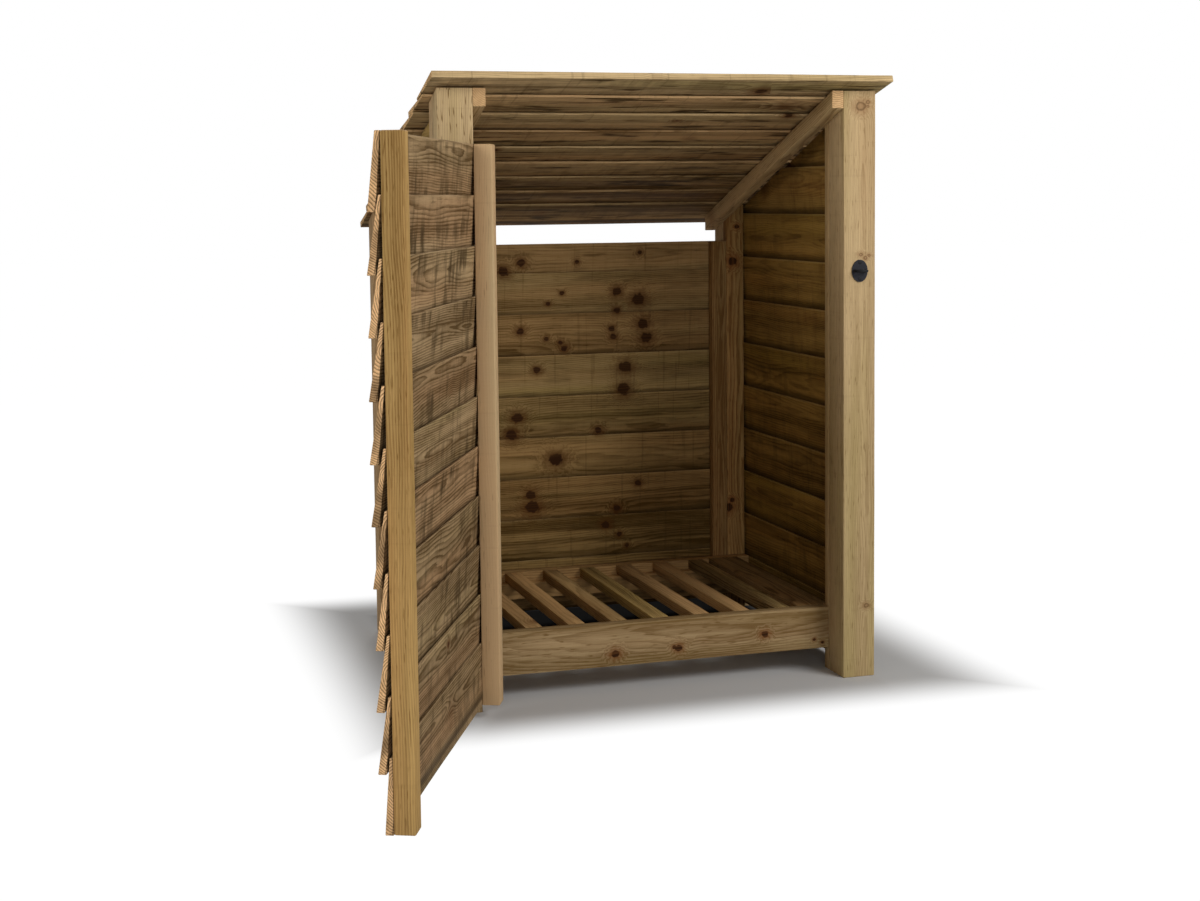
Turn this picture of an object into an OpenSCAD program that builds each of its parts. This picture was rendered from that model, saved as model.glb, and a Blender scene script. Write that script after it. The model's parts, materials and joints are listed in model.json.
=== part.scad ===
// Log store with a lean-to roof, lapped board walls, a slatted floor and a hinged door.
// x runs across the store from its middle, y runs back from the front faces of the posts,
// z runs up from the ground. The finished pieces are moved together at the end, so that
// the origin lies under the middle of the left front post's foot.

/* [Frame] */
// Width across the outer faces of the front posts
store_w = 940; // [800:10:1400]
// Depth from the front of the front posts to the back of the rear posts
store_d = 770; // [600:5:1100]
// Height of the front posts at their front faces
front_h = 1252; // [1150:2:1600]
// Fall of the roof towards the back, in degrees
roof_fall = 19; // [12:0.1:22]
// Width of a front post
front_post_w = 73; // [66:1:90]
// Depth of a front post
front_post_d = 75; // [60:1:100]
// Width of a rear post
rear_post_w = 80; // [74:1:86]
// Depth of a rear post
rear_post_d = 57; // [45:1:90]
// Width of the battens between the posts that the side boards are nailed to
side_batten_w = 46; // [38:1:48]
// Thickness of those battens
side_batten_t = 23; // [16:1:30]
// Width of a rafter
rafter_w = 26; // [20:1:40]
// Height of a rafter, square to the roof
rafter_h = 35; // [30:1:60]

/* [Floor] */
// Height of the front and back rails
rail_h = 90; // [70:1:120]
// Thickness of the front and back rails
rail_t = 30; // [24:1:36]
// Ground clearance under the rails
rail_lift = 50; // [20:1:90]
// Thickness of a floor slat
slat_t = 22; // [14:1:28]
// Width of a narrow floor slat
slat_w = 36; // [25:1:45]
// Width of the floor board beside each wall
edge_board_w = 75; // [50:1:90]
// Gap between that board and the wall
edge_gap = 33; // [4:1:50]
// Gap between the right edge board and the narrow slat next to it
last_gap = 18; // [10:1:50]
// Height of the ledger strips under the slats
ledger_h = 38; // [25:1:45]
// Thickness of the ledger strips
ledger_t = 25; // [16:1:40]

/* [Boards] */
// Width of a wall or door board
board_w = 125; // [110:1:150]
// Width of a roof board
roof_board_w = 150; // [125:1:175]
// Thickness of a board at its thick lower edge
board_thick = 14; // [10:0.5:16]
// Thickness of a board at its thin upper edge
board_thin = 5; // [3:0.5:8]
// Least lap of one side wall board over the next
side_lap = 18; // [10:1:40]
// Lap of one back wall board over the next
back_lap = 25; // [10:1:40]
// Least lap of one roof board over the next
roof_lap = 46; // [20:1:60]
// Height of the lowest side wall boards above the ground
side_lift = 12; // [2:1:40]
// Drop of the side walls' front ends below the roof
side_drop = 20; // [2:1:40]
// Height of the lowest back wall board above the ground
back_lift = 30; // [5:1:60]
// Open strip between the top of the back wall and the roof
back_vent = 81; // [60:1:140]
// Width of the batten at each end of the back wall
back_batten_w = 38; // [25:1:50]
// Thickness of that batten
back_batten_t = 25; // [16:1:30]
// Overhang of the roof at each side, past the posts
roof_side = 20; // [5:1:60]
// Overhang of the roof at the front
roof_front = 46; // [20:1:120]
// Overhang of the roof at the back
roof_back = 53; // [15:1:100]

/* [Door] */
// Height of the door
door_h = 1112; // [950:2:1120]
// Height of the door above the ground
door_lift = 28; // [10:1:60]
// Least lap of one door board over the next
door_lap = 25; // [15:1:40]
// Width of a door stile
stile_w = 40; // [30:1:60]
// Depth of a door stile
stile_d = 36; // [25:1:45]
// Gap between the hinge stile and the left post
hinge_gap = 5; // [4:0.5:8]
// Gap between the free stile and the right post
free_gap = 7; // [6:0.5:15]
// Distance of the door boards from the hinge edge of their stile
board_setback = 6; // [5:0.5:15]
// Angle at which the door stands open
door_open = 114.1; // [0:0.1:115]

/* [Ironwork] */
// Height of a hinge
hinge_h = 50; // [40:1:54]
// Width of a hinge leaf
leaf_w = 30; // [20:1:36]
// Thickness of a hinge leaf
leaf_t = 2; // [1.5:0.1:2.4]
// Outer radius of the hinge knuckles
knuckle_r = 4.5; // [3.5:0.1:4.8]
// Radius of the hinge pin
pin_r = 2.2; // [1.5:0.1:2.6]
// Height of the staple plate
staple_plate_h = 47; // [36:1:60]
// Width of the staple plate
staple_plate_w = 36; // [26:1:44]
// Thickness of the staple plate
staple_plate_t = 2.5; // [1.5:0.1:4]
// Diameter of the staple's bar
staple_bar = 6; // [4:0.5:8]
// Outer width of the staple's loop
staple_loop_w = 32; // [24:1:36]
// Distance that the staple stands out from its plate
staple_reach = 20; // [18:1:26]
// Height of the staple's middle above the ground
staple_z = 874; // [600:1:1000]

/* [Hidden] */
$fn = 48;
// Clearance between boards that lie on each other or on a post
seat_gap = 0.2;
// Running clearance in a hinge
hinge_play = 0.3;
// Clearance at the ends of pieces that fit between others
end_gap = 1;

inner_x = store_w / 2 - front_post_w;
nail_x = inner_x + side_batten_w;
rear_post_y = store_d - rear_post_d;
rear_batten_y = rear_post_y - side_batten_t;
back_nail_y = rear_batten_y + back_batten_t;
floor_z = rail_lift + rail_h;
floor_front_y = front_post_d + rail_t;
back_rail_y = rear_batten_y - rail_t;
edge_out_x = nail_x - edge_gap;
edge_in_x = edge_out_x - edge_board_w;
SLATS = 7;
slat_gap = (2 * edge_in_x - last_gap - SLATS * slat_w) / SLATS;
roof_len = (store_d + roof_front + roof_back) / cos(roof_fall);
roof_w = store_w + 2 * roof_side;
side_h = roof_z(front_post_d) - side_drop - side_lift;
back_h = roof_z(back_nail_y) - back_vent - back_lift;
door_w = 2 * inner_x - hinge_gap - free_gap;
hinge_x = -inner_x + hinge_gap / 2 - end_gap;
hinge_y = -knuckle_r - end_gap / 2;
stile_x = -inner_x + hinge_gap;
door_pitch = even_pitch(door_h, board_w, door_lap);
staple_x = store_w / 2 - front_post_w / 2;
to_foot = [store_w / 2 - front_post_w / 2, -front_post_d / 2, 0];

// Height of the roof's underside at a distance behind the front faces
function roof_z(y) = front_h - y * tan(roof_fall);

// A row of boards of width w that fills a height evenly, with at least the given lap
function even_count(h, w, lap) = ceil((h - w) / (w - lap)) + 1;
function even_pitch(h, w, lap) = (h - w) / (even_count(h, w, lap) - 1);

// Loss of thickness across a board, for each millimetre of its width
function taper(w) = (board_thick - board_thin) / w;

// Offset of board k's lower edge: the lowest lies flat, and each other one rests on the board below it
function offset_of(k, w, lap) =
    k == 0 ? 0 : board_thin + (offset_of(k - 1, w, lap) / w + taper(w)) * lap + seat_gap;

module at_foot() translate(to_foot) children();

// A box between two corners
module span(low, high) translate(low) cube(high - low);

// The right-hand piece of a pair is the left-hand one turned over, and the other way round
module right_hand() mirror([1, 0, 0]) children();

// Cuts what it holds to the underside of the roof
module under_roof() {
    reach = roof_front + roof_back;
    back_y = store_d + reach;
    intersection() {
        children();
        translate([-store_w, 0, 0]) rotate([90, 0, 90]) linear_extrude(2 * store_w)
            polygon([[-reach, 0], [back_y, 0], [back_y, roof_z(back_y) - seat_gap],
                     [-reach, roof_z(-reach) - seat_gap]]);
    }
}

// Section of one feather-edge board: leans outwards along x, stands up along y
module board_section(w, out, low_edge, top_edge)
    polygon([[seat_gap, w], [seat_gap + top_edge, w], [seat_gap + out + low_edge, 0],
             [seat_gap + out, 0]]);

// A row of lapped boards: x points out of the wall, y up, and z along the boards
module board_row(count, w, pitch, length)
    for (k = [0 : count - 1])
        translate([0, k * pitch, 0]) linear_extrude(length)
            board_section(w, offset_of(k, w, w - pitch), board_thick, board_thin);

// The frame

module left_front_post() at_foot() color("burlywood") under_roof()
    span([-store_w / 2, 0, 0], [-inner_x, front_post_d, front_h]);

module right_front_post() at_foot() color("burlywood") under_roof()
    span([inner_x, 0, 0], [store_w / 2, front_post_d, front_h]);

module rear_post() under_roof()
    span([-inner_x - rear_post_w, rear_post_y, 0], [-inner_x, store_d, front_h]);

module left_rear_post() at_foot() color("tan") rear_post();
module right_rear_post() at_foot() color("tan") right_hand() rear_post();

module side_batten(front_y) under_roof()
    span([-nail_x, front_y, 0], [-inner_x, front_y + side_batten_t, front_h]);

module left_front_batten() at_foot() color("tan") side_batten(front_post_d);
module right_front_batten() at_foot() color("tan") right_hand() side_batten(front_post_d);
module left_rear_batten() at_foot() color("tan") side_batten(rear_batten_y);
module right_rear_batten() at_foot() color("tan") right_hand() side_batten(rear_batten_y);

module back_batten()
    span([-inner_x, rear_batten_y, back_lift],
         [-inner_x + back_batten_w, back_nail_y, back_lift + back_h]);

module left_back_batten() at_foot() color("tan") back_batten();
module right_back_batten() at_foot() color("tan") right_hand() back_batten();

module rafter() {
    drop = rafter_h / cos(roof_fall);
    translate([-inner_x, 0, 0]) rotate([90, 0, 90]) linear_extrude(rafter_w)
        polygon([[0, roof_z(0) - seat_gap], [0, roof_z(0) - drop],
                 [store_d, roof_z(store_d) - drop], [store_d, roof_z(store_d) - seat_gap]]);
}

module left_rafter() at_foot() color("burlywood") rafter();
module right_rafter() at_foot() color("burlywood") right_hand() rafter();

// The floor

module front_rail() at_foot() color("tan")
    span([-inner_x, front_post_d, rail_lift], [inner_x, floor_front_y, floor_z]);

module back_rail() at_foot() color("tan")
    span([-nail_x + end_gap, back_rail_y, rail_lift], [nail_x - end_gap, rear_batten_y, floor_z]);

module ledger(front_y)
    span([-edge_out_x, front_y, floor_z - slat_t - ledger_h],
         [edge_out_x, front_y + ledger_t, floor_z - slat_t]);

module front_ledger() at_foot() color("peru") ledger(floor_front_y);
module back_ledger() at_foot() color("peru") ledger(back_rail_y - ledger_t);

module floor_strip(left_x, w)
    span([left_x, floor_front_y + seat_gap, floor_z - slat_t],
         [left_x + w, back_rail_y - seat_gap, floor_z]);

module floor_slat(i) at_foot() color("burlywood")
    floor_strip(-edge_in_x + slat_gap + i * (slat_w + slat_gap), slat_w);

module left_edge_board() at_foot() color("burlywood") floor_strip(-edge_out_x, edge_board_w);
module right_edge_board() at_foot() color("burlywood") floor_strip(edge_in_x, edge_board_w);

// The lapped boards

module side_boards() under_roof()
    translate([nail_x, rear_post_y - seat_gap, side_lift]) rotate([90, 0, 0])
        board_row(even_count(side_h, board_w, side_lap), board_w, even_pitch(side_h, board_w, side_lap),
                  rear_post_y - front_post_d - 2 * seat_gap);

module right_wall_boards() at_foot() color("peru") side_boards();
module left_wall_boards() at_foot() color("peru") right_hand() side_boards();

// The top back board is ripped down to the height that is left
module back_wall_boards() {
    pitch = board_w - back_lap;
    full = floor((back_h - board_w) / pitch) + 1;
    top_w = back_h - full * pitch;
    length = 2 * (inner_x - end_gap);
    at_foot() color("peru") translate([end_gap - inner_x, back_nail_y, back_lift]) rotate([90, 0, 90]) {
        board_row(full, board_w, pitch, length);
        translate([0, full * pitch, 0]) linear_extrude(length)
            board_section(top_w, offset_of(full, board_w, back_lap), board_thick,
                          board_thick - taper(board_w) * top_w);
    }
}

// The roof's boards lap downhill, and the front one turns its thick edge to the front
module roof_boards() {
    count = even_count(roof_len, roof_board_w, roof_lap);
    pitch = even_pitch(roof_len, roof_board_w, roof_lap);
    back_y = store_d + roof_back;
    at_foot() color("saddlebrown") translate([-roof_w / 2, back_y, roof_z(back_y)])
        rotate([90 - roof_fall, 0, 0]) rotate([90, 0, 90]) {
            board_row(count - 1, roof_board_w, pitch, roof_w);
            translate([0, (count - 1) * pitch, 0]) linear_extrude(roof_w)
                board_section(roof_board_w, offset_of(count - 1, roof_board_w, roof_board_w - pitch),
                              board_thin, board_thick);
        }
}

// The staple on the right post

module staple_plate() at_foot() color("dimgray") {
    screw_r = staple_bar / 3;
    screw_z = staple_plate_h / 2 - staple_bar;
    translate([staple_x, 0, staple_z]) rotate([90, 0, 0]) linear_extrude(staple_plate_t) difference() {
        polygon([for (a = [0 : 7.5 : 352.5]) [staple_plate_w / 2 * cos(a), staple_plate_h / 2 * sin(a)]]);
        for (side = [-1, 1]) translate([0, side * screw_z]) circle(r = screw_r);
    }
}

module staple_loop() at_foot() color("dimgray") {
    bend_r = (staple_loop_w - staple_bar) / 2;
    leg = staple_reach - staple_bar / 2 - bend_r;
    translate([staple_x, -staple_plate_t, staple_z]) {
        for (side = [-1, 1])
            translate([side * bend_r, 0, 0]) rotate([90, 0, 0]) cylinder(d = staple_bar, h = leg);
        translate([0, -leg, 0]) rotate([0, 0, 180]) rotate_extrude(angle = 180)
            translate([bend_r, 0]) circle(d = staple_bar);
    }
}

// The door, modelled shut and then turned about its hinges

module door_swing() at_foot()
    translate([hinge_x, hinge_y, 0]) rotate([0, 0, -door_open])
        translate([-hinge_x, -hinge_y, 0]) children();

module stile(left_x)
    span([left_x, 0, door_lift], [left_x + stile_w, stile_d, door_lift + door_h]);

module door_hinge_stile() door_swing() color("burlywood") stile(stile_x);
module door_free_stile() door_swing() color("burlywood") stile(stile_x + door_w - stile_w);

module door_boards() door_swing() color("peru")
    translate([stile_x + board_setback, 0, door_lift]) mirror([0, 1, 0]) rotate([90, 0, 90])
        board_row(even_count(door_h, board_w, door_lap), board_w, door_pitch, door_w - board_setback);

// A hinge sits low behind one door board, where the lap leaves room for its leaf
function hinge_z(k) = door_lift + k * door_pitch + board_w - door_pitch + end_gap * 2;
upper_hinge_z = hinge_z(even_count(door_h, board_w, door_lap) - 2);
lower_hinge_z = hinge_z(1);
third = hinge_h / 3;

module knuckle(low_z, h, hole_r)
    translate([hinge_x, hinge_y, low_z]) difference() {
        cylinder(r = knuckle_r, h = h);
        translate([0, 0, -1]) cylinder(r = hole_r, h = h + 2);
    }

module hinge_post_leaf(z) {
    span([-inner_x - leaf_w, -leaf_t, z], [-inner_x - hinge_gap / 2, 0, z + hinge_h]);
    for (low = [z, z + 2 * third]) {
        translate([hinge_x, hinge_y, low]) cylinder(r = knuckle_r, h = third);
        span([-inner_x - hinge_gap, -leaf_t, low], [hinge_x, hinge_y + knuckle_r, low + third]);
    }
    translate([hinge_x, hinge_y, z]) cylinder(r = pin_r, h = hinge_h);
}

module hinge_door_leaf(z) {
    low = z + third + hinge_play;
    h = third - 2 * hinge_play;
    span([stile_x + hinge_gap / 2, -leaf_t, z], [stile_x + leaf_w, 0, z + hinge_h]);
    difference() {
        union() {
            translate([hinge_x, hinge_y, low]) cylinder(r = knuckle_r, h = h);
            span([hinge_x, -leaf_t, low], [stile_x + hinge_gap, hinge_y + knuckle_r, low + h]);
        }
        translate([hinge_x, hinge_y, low - 1]) cylinder(r = pin_r + hinge_play, h = h + 2);
    }
}

module upper_hinge_post_leaf() at_foot() color("dimgray") hinge_post_leaf(upper_hinge_z);
module lower_hinge_post_leaf() at_foot() color("dimgray") hinge_post_leaf(lower_hinge_z);
module upper_hinge_door_leaf() door_swing() color("dimgray") hinge_door_leaf(upper_hinge_z);
module lower_hinge_door_leaf() door_swing() color("dimgray") hinge_door_leaf(lower_hinge_z);

left_front_post();
right_front_post();
left_rear_post();
right_rear_post();
left_front_batten();
right_front_batten();
left_rear_batten();
right_rear_batten();
left_back_batten();
right_back_batten();
left_rafter();
right_rafter();
front_rail();
back_rail();
front_ledger();
back_ledger();
left_edge_board();
right_edge_board();
floor_slat(0);  // floor_slat_1
floor_slat(1);  // floor_slat_2
floor_slat(2);  // floor_slat_3
floor_slat(3);  // floor_slat_4
floor_slat(4);  // floor_slat_5
floor_slat(5);  // floor_slat_6
floor_slat(6);  // floor_slat_7
left_wall_boards();
right_wall_boards();
back_wall_boards();
roof_boards();
staple_plate();
staple_loop();
upper_hinge_post_leaf();
lower_hinge_post_leaf();
upper_hinge_door_leaf();
lower_hinge_door_leaf();
door_hinge_stile();
door_free_stile();
door_boards();
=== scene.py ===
# %% [markdown]
# This lesson dresses a timber log store whose solids are already built. It could be modelled anew
# in Blender, but then it might not fit them. So the solids are loaded first, as a fixed frame, and
# every piece below takes its place from them.

# %% Load the frame
import json
import math
import random
from contextlib import contextmanager
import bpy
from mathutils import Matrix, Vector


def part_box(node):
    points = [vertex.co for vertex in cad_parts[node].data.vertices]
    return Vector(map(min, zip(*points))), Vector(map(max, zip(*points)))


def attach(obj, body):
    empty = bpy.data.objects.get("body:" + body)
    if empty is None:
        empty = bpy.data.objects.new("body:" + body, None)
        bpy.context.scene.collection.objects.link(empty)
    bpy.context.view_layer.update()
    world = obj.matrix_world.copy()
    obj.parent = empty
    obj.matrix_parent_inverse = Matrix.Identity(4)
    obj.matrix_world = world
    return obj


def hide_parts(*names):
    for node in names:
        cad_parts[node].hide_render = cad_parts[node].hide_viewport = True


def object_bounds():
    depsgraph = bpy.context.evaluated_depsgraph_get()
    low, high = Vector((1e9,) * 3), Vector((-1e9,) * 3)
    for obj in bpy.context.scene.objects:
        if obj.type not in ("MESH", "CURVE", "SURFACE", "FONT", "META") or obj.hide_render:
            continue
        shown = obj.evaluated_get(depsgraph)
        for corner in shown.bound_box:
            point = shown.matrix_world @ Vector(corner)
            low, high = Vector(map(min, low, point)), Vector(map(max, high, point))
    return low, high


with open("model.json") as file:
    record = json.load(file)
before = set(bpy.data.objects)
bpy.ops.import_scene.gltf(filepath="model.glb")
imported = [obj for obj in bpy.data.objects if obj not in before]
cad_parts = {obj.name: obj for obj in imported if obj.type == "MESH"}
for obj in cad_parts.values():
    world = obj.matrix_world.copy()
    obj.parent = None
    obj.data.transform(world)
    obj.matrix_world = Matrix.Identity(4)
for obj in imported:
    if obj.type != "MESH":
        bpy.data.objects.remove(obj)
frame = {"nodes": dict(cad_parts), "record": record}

from types import SimpleNamespace

import bpy
from mathutils import Euler, Matrix, Vector

cad_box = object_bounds()

# %% [markdown]
# The log store is made of square timbers with lapped boards on them, so the same few steps come
# again and again. An operator acts on all that is selected, and the solids are still selected after
# loading. Each step could clear the selection by itself. A few helpers that pick one object first,
# and that open its mesh, cut it, copy it or join it, are shorter and harder to get wrong.

# %% Working on one object


def only(piece):
    """Selects one object and makes it the active one."""
    bpy.ops.object.select_all(action="DESELECT")
    piece.select_set(True)
    bpy.context.view_layer.objects.active = piece


@contextmanager
def editing(piece):
    """Edit mode on one object, with its whole mesh selected."""
    only(piece)
    bpy.ops.object.mode_set(mode="EDIT")
    bpy.ops.mesh.select_all(action="SELECT")
    yield
    bpy.ops.object.mode_set(mode="OBJECT")


def cut_at(point, normal, **how):
    """In edit mode, cuts the whole mesh along a plane."""
    bpy.ops.mesh.select_all(action="SELECT")
    bpy.ops.mesh.bisect(plane_co=point, plane_no=normal, **how)


def pick_edges(piece, test):
    """In edit mode, selects the edges whose two ends pass the test."""
    bpy.ops.mesh.select_mode(type="EDGE")
    bpy.ops.mesh.select_all(action="DESELECT")
    bpy.ops.object.mode_set(mode="OBJECT")
    points = piece.data.vertices
    for edge in piece.data.edges:
        edge.select = all(test(points[i].co) for i in edge.vertices)
    bpy.ops.object.mode_set(mode="EDIT")


def apply_modifier(piece, kind, **settings):
    """Adds a modifier, sets it up and applies it to the mesh."""
    only(piece)
    modifier = piece.modifiers.new(kind.lower(), kind)
    for name, value in settings.items():
        setattr(modifier, name, value)
    bpy.ops.object.modifier_apply(modifier=modifier.name)


def copy_of(piece):
    """A copy with a mesh of its own."""
    copy = piece.copy()
    copy.data = piece.data.copy()
    bpy.context.scene.collection.objects.link(copy)
    return copy


def join(pieces, name):
    """Joins several objects in one."""
    only(pieces[0])
    for piece in pieces:
        piece.select_set(True)
    bpy.ops.object.join()
    joined = bpy.context.object
    joined.name = name
    return joined


# %% [markdown]
# Sawn timber is never dead straight. A slow swell along each piece, about half a millimetre,
# catches the light the way real timber does. It could be sculpted by hand. A Displace modifier
# with a clouds texture does the same and gives the same result on every run.

# %% The swell of sawn timber
MM = 0.001
SWELL_LENGTH = 0.16
PLAIN_EASE = 1.4 * MM
EASED_ABOVE, SMOOTH_BELOW = math.radians(40), math.radians(30)
swell = bpy.data.textures.new("timber_swell", "CLOUDS")
swell.noise_scale = SWELL_LENGTH
swell.noise_depth = 1
draws = random.Random(7)
print("timbers swell over lengths of about", SWELL_LENGTH, "m")


def weather(piece, amount, ease=PLAIN_EASE):
    """Swells the surface, eases the arrises and smooths the shading."""
    apply_modifier(piece, "DISPLACE", texture=swell, texture_coords="LOCAL",
                   strength=amount, mid_level=0.5)
    apply_modifier(piece, "BEVEL", width=ease, segments=2, limit_method="ANGLE",
                   angle_limit=EASED_ABOVE)
    only(piece)
    bpy.ops.object.shade_smooth_by_angle(angle=SMOOTH_BELOW)


# %% [markdown]
# Wood has a direction. Its growth rings run along the trunk, show as long lines on a face and
# as arcs on a cut end. A flat picture can't do that on every side of a post, so each piece
# carries its own coordinates: how far along the grain, how far across and how deep a point lies.
# The finish reads them as solid wood. Every piece also gets a tone, a hue and a yellowness of its
# own, so that no two boards look alike.

# %% Coordinates that follow the grain
TRUNK_START, TRUNK_ASIDE, TRUNK_DEPTH = (0, 40), (-0.05, 0.05), (0.02, 0.07)
DRAWN_TONE, DRAWN_YELLOW = (0.2, 0.6), (0.0, 0.3)
FACES_ALONG = 0.7


def give_grain(piece, along, across, look=None):
    """Stores the wood coordinates of every point, in metres, the piece's own look and its cut ends."""
    along = along.normalized()
    across = (across - along * across.dot(along)).normalized()
    deep = along.cross(across)
    middle = sum((v.co for v in piece.data.vertices), Vector()) / len(piece.data.vertices)
    shift = Vector([draws.uniform(*span) for span in (TRUNK_START, TRUNK_ASIDE, TRUNK_DEPTH)])
    drawn = (draws.uniform(*DRAWN_TONE), draws.random(), draws.uniform(*DRAWN_YELLOW))
    wood = piece.data.attributes.new("wood", "FLOAT_VECTOR", "POINT")
    own = piece.data.attributes.new("look", "FLOAT_VECTOR", "POINT")
    for v in piece.data.vertices:
        p = v.co - middle
        wood.data[v.index].vector = Vector((p.dot(along), p.dot(across), p.dot(deep))) + shift
        own.data[v.index].vector = look or drawn
    end = piece.data.attributes.new("end", "FLOAT", "FACE")
    for face in piece.data.polygons:
        end.data[face.index].value = abs(face.normal.dot(along)) > FACES_ALONG


# %% [markdown]
# The roof falls to the back, and what carries it is cut off along that slope. The angle could be
# typed in, but then it could disagree with the solids. So it is measured in the frame, from the
# top of the left front post.

# %% The roof's slope


def top_at(node, y):
    """Height of the highest point of a node at one distance from the front."""
    points = [v.co for v in frame["nodes"][node].data.vertices]
    return max(p.z for p in points if abs(p.y - y) < MM)


X, Y, Z = Vector((1, 0, 0)), Vector((0, 1, 0)), Vector((0, 0, 1))
post_low, post_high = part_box("left_front_post")
roof_front_z = top_at("left_front_post", post_low.y)
roof_slope = (roof_front_z - top_at("left_front_post", post_high.y)) / (post_high.y - post_low.y)
roof_normal = Vector((0, roof_slope, 1)).normalized()
roof_point = Vector((0, post_low.y, roof_front_z))
print("roof falls", round(math.degrees(math.atan(roof_slope)), 1), "degrees")

# %% [markdown]
# The posts, battens, rails, rafters and slats are all sawn square. A box of six faces would be
# enough for their outline, but it couldn't swell. So each starts as a cube that fills its node's
# box and is cut across every few centimetres.

# %% Square timbers
STRETCH = 0.045
slot_of = {part["node"]: part["material_slot"] for part in frame["record"]["subparts"]}
timbers = {}


def cut_across(piece, axis, low, high):
    """Cuts a piece across its length into short stretches."""
    count = max(2, round((high - low) / STRETCH))
    with editing(piece):
        for k in range(1, count):
            cut_at(axis * (low + (high - low) * k / count), axis)


def cut_under_roof(piece):
    """Takes off what stands above the roof's slope, and closes the cut."""
    with editing(piece):
        cut_at(roof_point, roof_normal, use_fill=True, clear_outer=True)


def square_timber(name, low, high, along, under_roof=False):
    """A square timber between two corners, its grain along one axis."""
    bpy.ops.object.select_all(action="DESELECT")
    bpy.ops.mesh.primitive_cube_add(size=1, location=(low + high) / 2, scale=high - low)
    piece = bpy.context.object
    piece.name = name
    bpy.ops.object.transform_apply(location=True, rotation=True, scale=True)
    cut_across(piece, along, low.dot(along), high.dot(along))
    if under_roof:
        cut_under_roof(piece)
    return piece


def stand_in(piece, node, body):
    """The piece replaces its node, rides on its body and is kept for the finish of the node's slot."""
    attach(piece, body)
    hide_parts(node)
    timbers[node] = piece


# %% [markdown]
# Posts stand at the four corners, and battens beside them take the ends of the boards. All but
# the two back battens reach up to the roof. Each could be modelled by itself, but they differ only
# in size, so one loop makes all ten. Timbers that show well have a listed look: a tone from
# pale to dark, a hue from pink to green, and how yellow they are. The others draw one.

# %% Uprights
UPRIGHT_SWELL, UPRIGHT_EASE = 0.9 * MM, 2.2 * MM
UPRIGHTS = ["front_post", "rear_post", "front_batten", "rear_batten", "back_batten"]
# The rear battens' dark tones are painted shade for the dark back corners of the store.
LOOKS = {"left_front_post": (0.14, 0.38, 0.05), "right_front_post": (0.33, 0.60, 0.08),
         "left_rear_batten": (0.75, 0.35, 0.60), "right_rear_batten": (0.78, 0.25, 0.75),
         "left_back_batten": (0.65, 0.40, 0.50), "right_back_batten": (0.78, 0.30, 0.60),
         "front_rail": (0.80, 0.62, 0.05), "left_rafter": (0.25, 0.45, 0.20),
         "right_rafter": (0.30, 0.45, 0.25), "door_hinge_stile": (-0.30, 0.08, 0.0),
         "door_free_stile": (0.36, 0.50, 0.85)}
for side in ("left", "right"):
    for upright in UPRIGHTS:
        node = side + "_" + upright
        low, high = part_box(node)
        piece = square_timber(node + "_timber", low, high, Z, under_roof=upright != "back_batten")
        weather(piece, UPRIGHT_SWELL, UPRIGHT_EASE)
        give_grain(piece, Z, X, LOOKS.get(node))
        stand_in(piece, node, "store")
print("uprights:", len(timbers))

# %% [markdown]
# The floor lies on two rails and two ledgers. The narrow slats leave gaps for air, and a wider
# board runs beside each wall. An Array modifier could repeat one slat, but then all would have
# the same grain. So each is a square timber of its own, laid down.

# %% Floor
FLOOR_SWELL = 0.7 * MM
floor_nodes = ["front_rail", "back_rail", "front_ledger", "back_ledger"]
slat_nodes = ["left_edge_board", "right_edge_board"]
slat_nodes += [node for node in frame["nodes"] if node.startswith("floor_slat")]
for node in floor_nodes + slat_nodes:
    low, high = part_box(node)
    along, across = (X, Z) if node in floor_nodes else (Y, X)
    piece = square_timber(node + "_timber", low, high, along)
    weather(piece, FLOOR_SWELL)
    give_grain(piece, along, across, LOOKS.get(node))
    stand_in(piece, node, "store")
print("floor timbers:", len(floor_nodes) + len(slat_nodes))

# %% [markdown]
# The rafters slope with the roof. A slanted bar could be a turned cube, but then its ends would
# lean too, and the real ends are plumb. So each point of a level bar is lowered by as much as the
# roof has fallen there, which keeps both ends upright.

# %% Rafters
RAFTER_SWELL = 0.6 * MM
for side in ("left", "right"):
    node = side + "_rafter"
    low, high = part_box(node)
    fall = (high.y - low.y) * roof_slope
    piece = square_timber(node + "_timber", Vector((low.x, low.y, low.z + fall)), high, Y)
    for v in piece.data.vertices:
        v.co.z -= (v.co.y - low.y) * roof_slope
    weather(piece, RAFTER_SWELL)
    give_grain(piece, Vector((0, 1, -roof_slope)), X, LOOKS[node])
    stand_in(piece, node, "store")

# %% [markdown]
# The door's two stiles stand at the angle of the open door. They could be made from their turned
# faces in the solids. It is simpler to measure the door's direction from the middles of its
# stiles, make each timber square to the store at its own middle, and turn it there.

# %% Door stiles
STILE_SWELL, STILE_EASE = 0.9 * MM, 3.0 * MM


def centre(node):
    """Middle of a node's box."""
    low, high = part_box(node)
    return (low + high) / 2


def extent(node, axis):
    """Least and greatest distance of a node's points along an axis."""
    reach = [v.co.dot(axis) for v in frame["nodes"][node].data.vertices]
    return min(reach), max(reach)


def turn_about(piece, point, angle):
    """Turns the mesh about an upright line through a point."""
    with editing(piece):
        bpy.ops.transform.rotate(value=-angle, orient_axis="Z", center_override=point)


door_along = (centre("door_free_stile") - centre("door_hinge_stile")).normalized()
door_in = Z.cross(door_along)
door_turn = math.atan2(door_along.y, door_along.x)
for node in ("door_hinge_stile", "door_free_stile"):
    mid = centre(node)
    reach = [extent(node, axis) for axis in (door_along, door_in, Z)]
    half = Vector([(b - a) / 2 for a, b in reach])
    piece = square_timber(node + "_timber", mid - half, mid + half, Z)
    turn_about(piece, mid, door_turn)
    weather(piece, STILE_SWELL, STILE_EASE)
    give_grain(piece, Z, door_along, LOOKS[node])
    stand_in(piece, node, "door")
print("door stands", round(math.degrees(-door_turn), 1), "degrees open")

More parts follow.
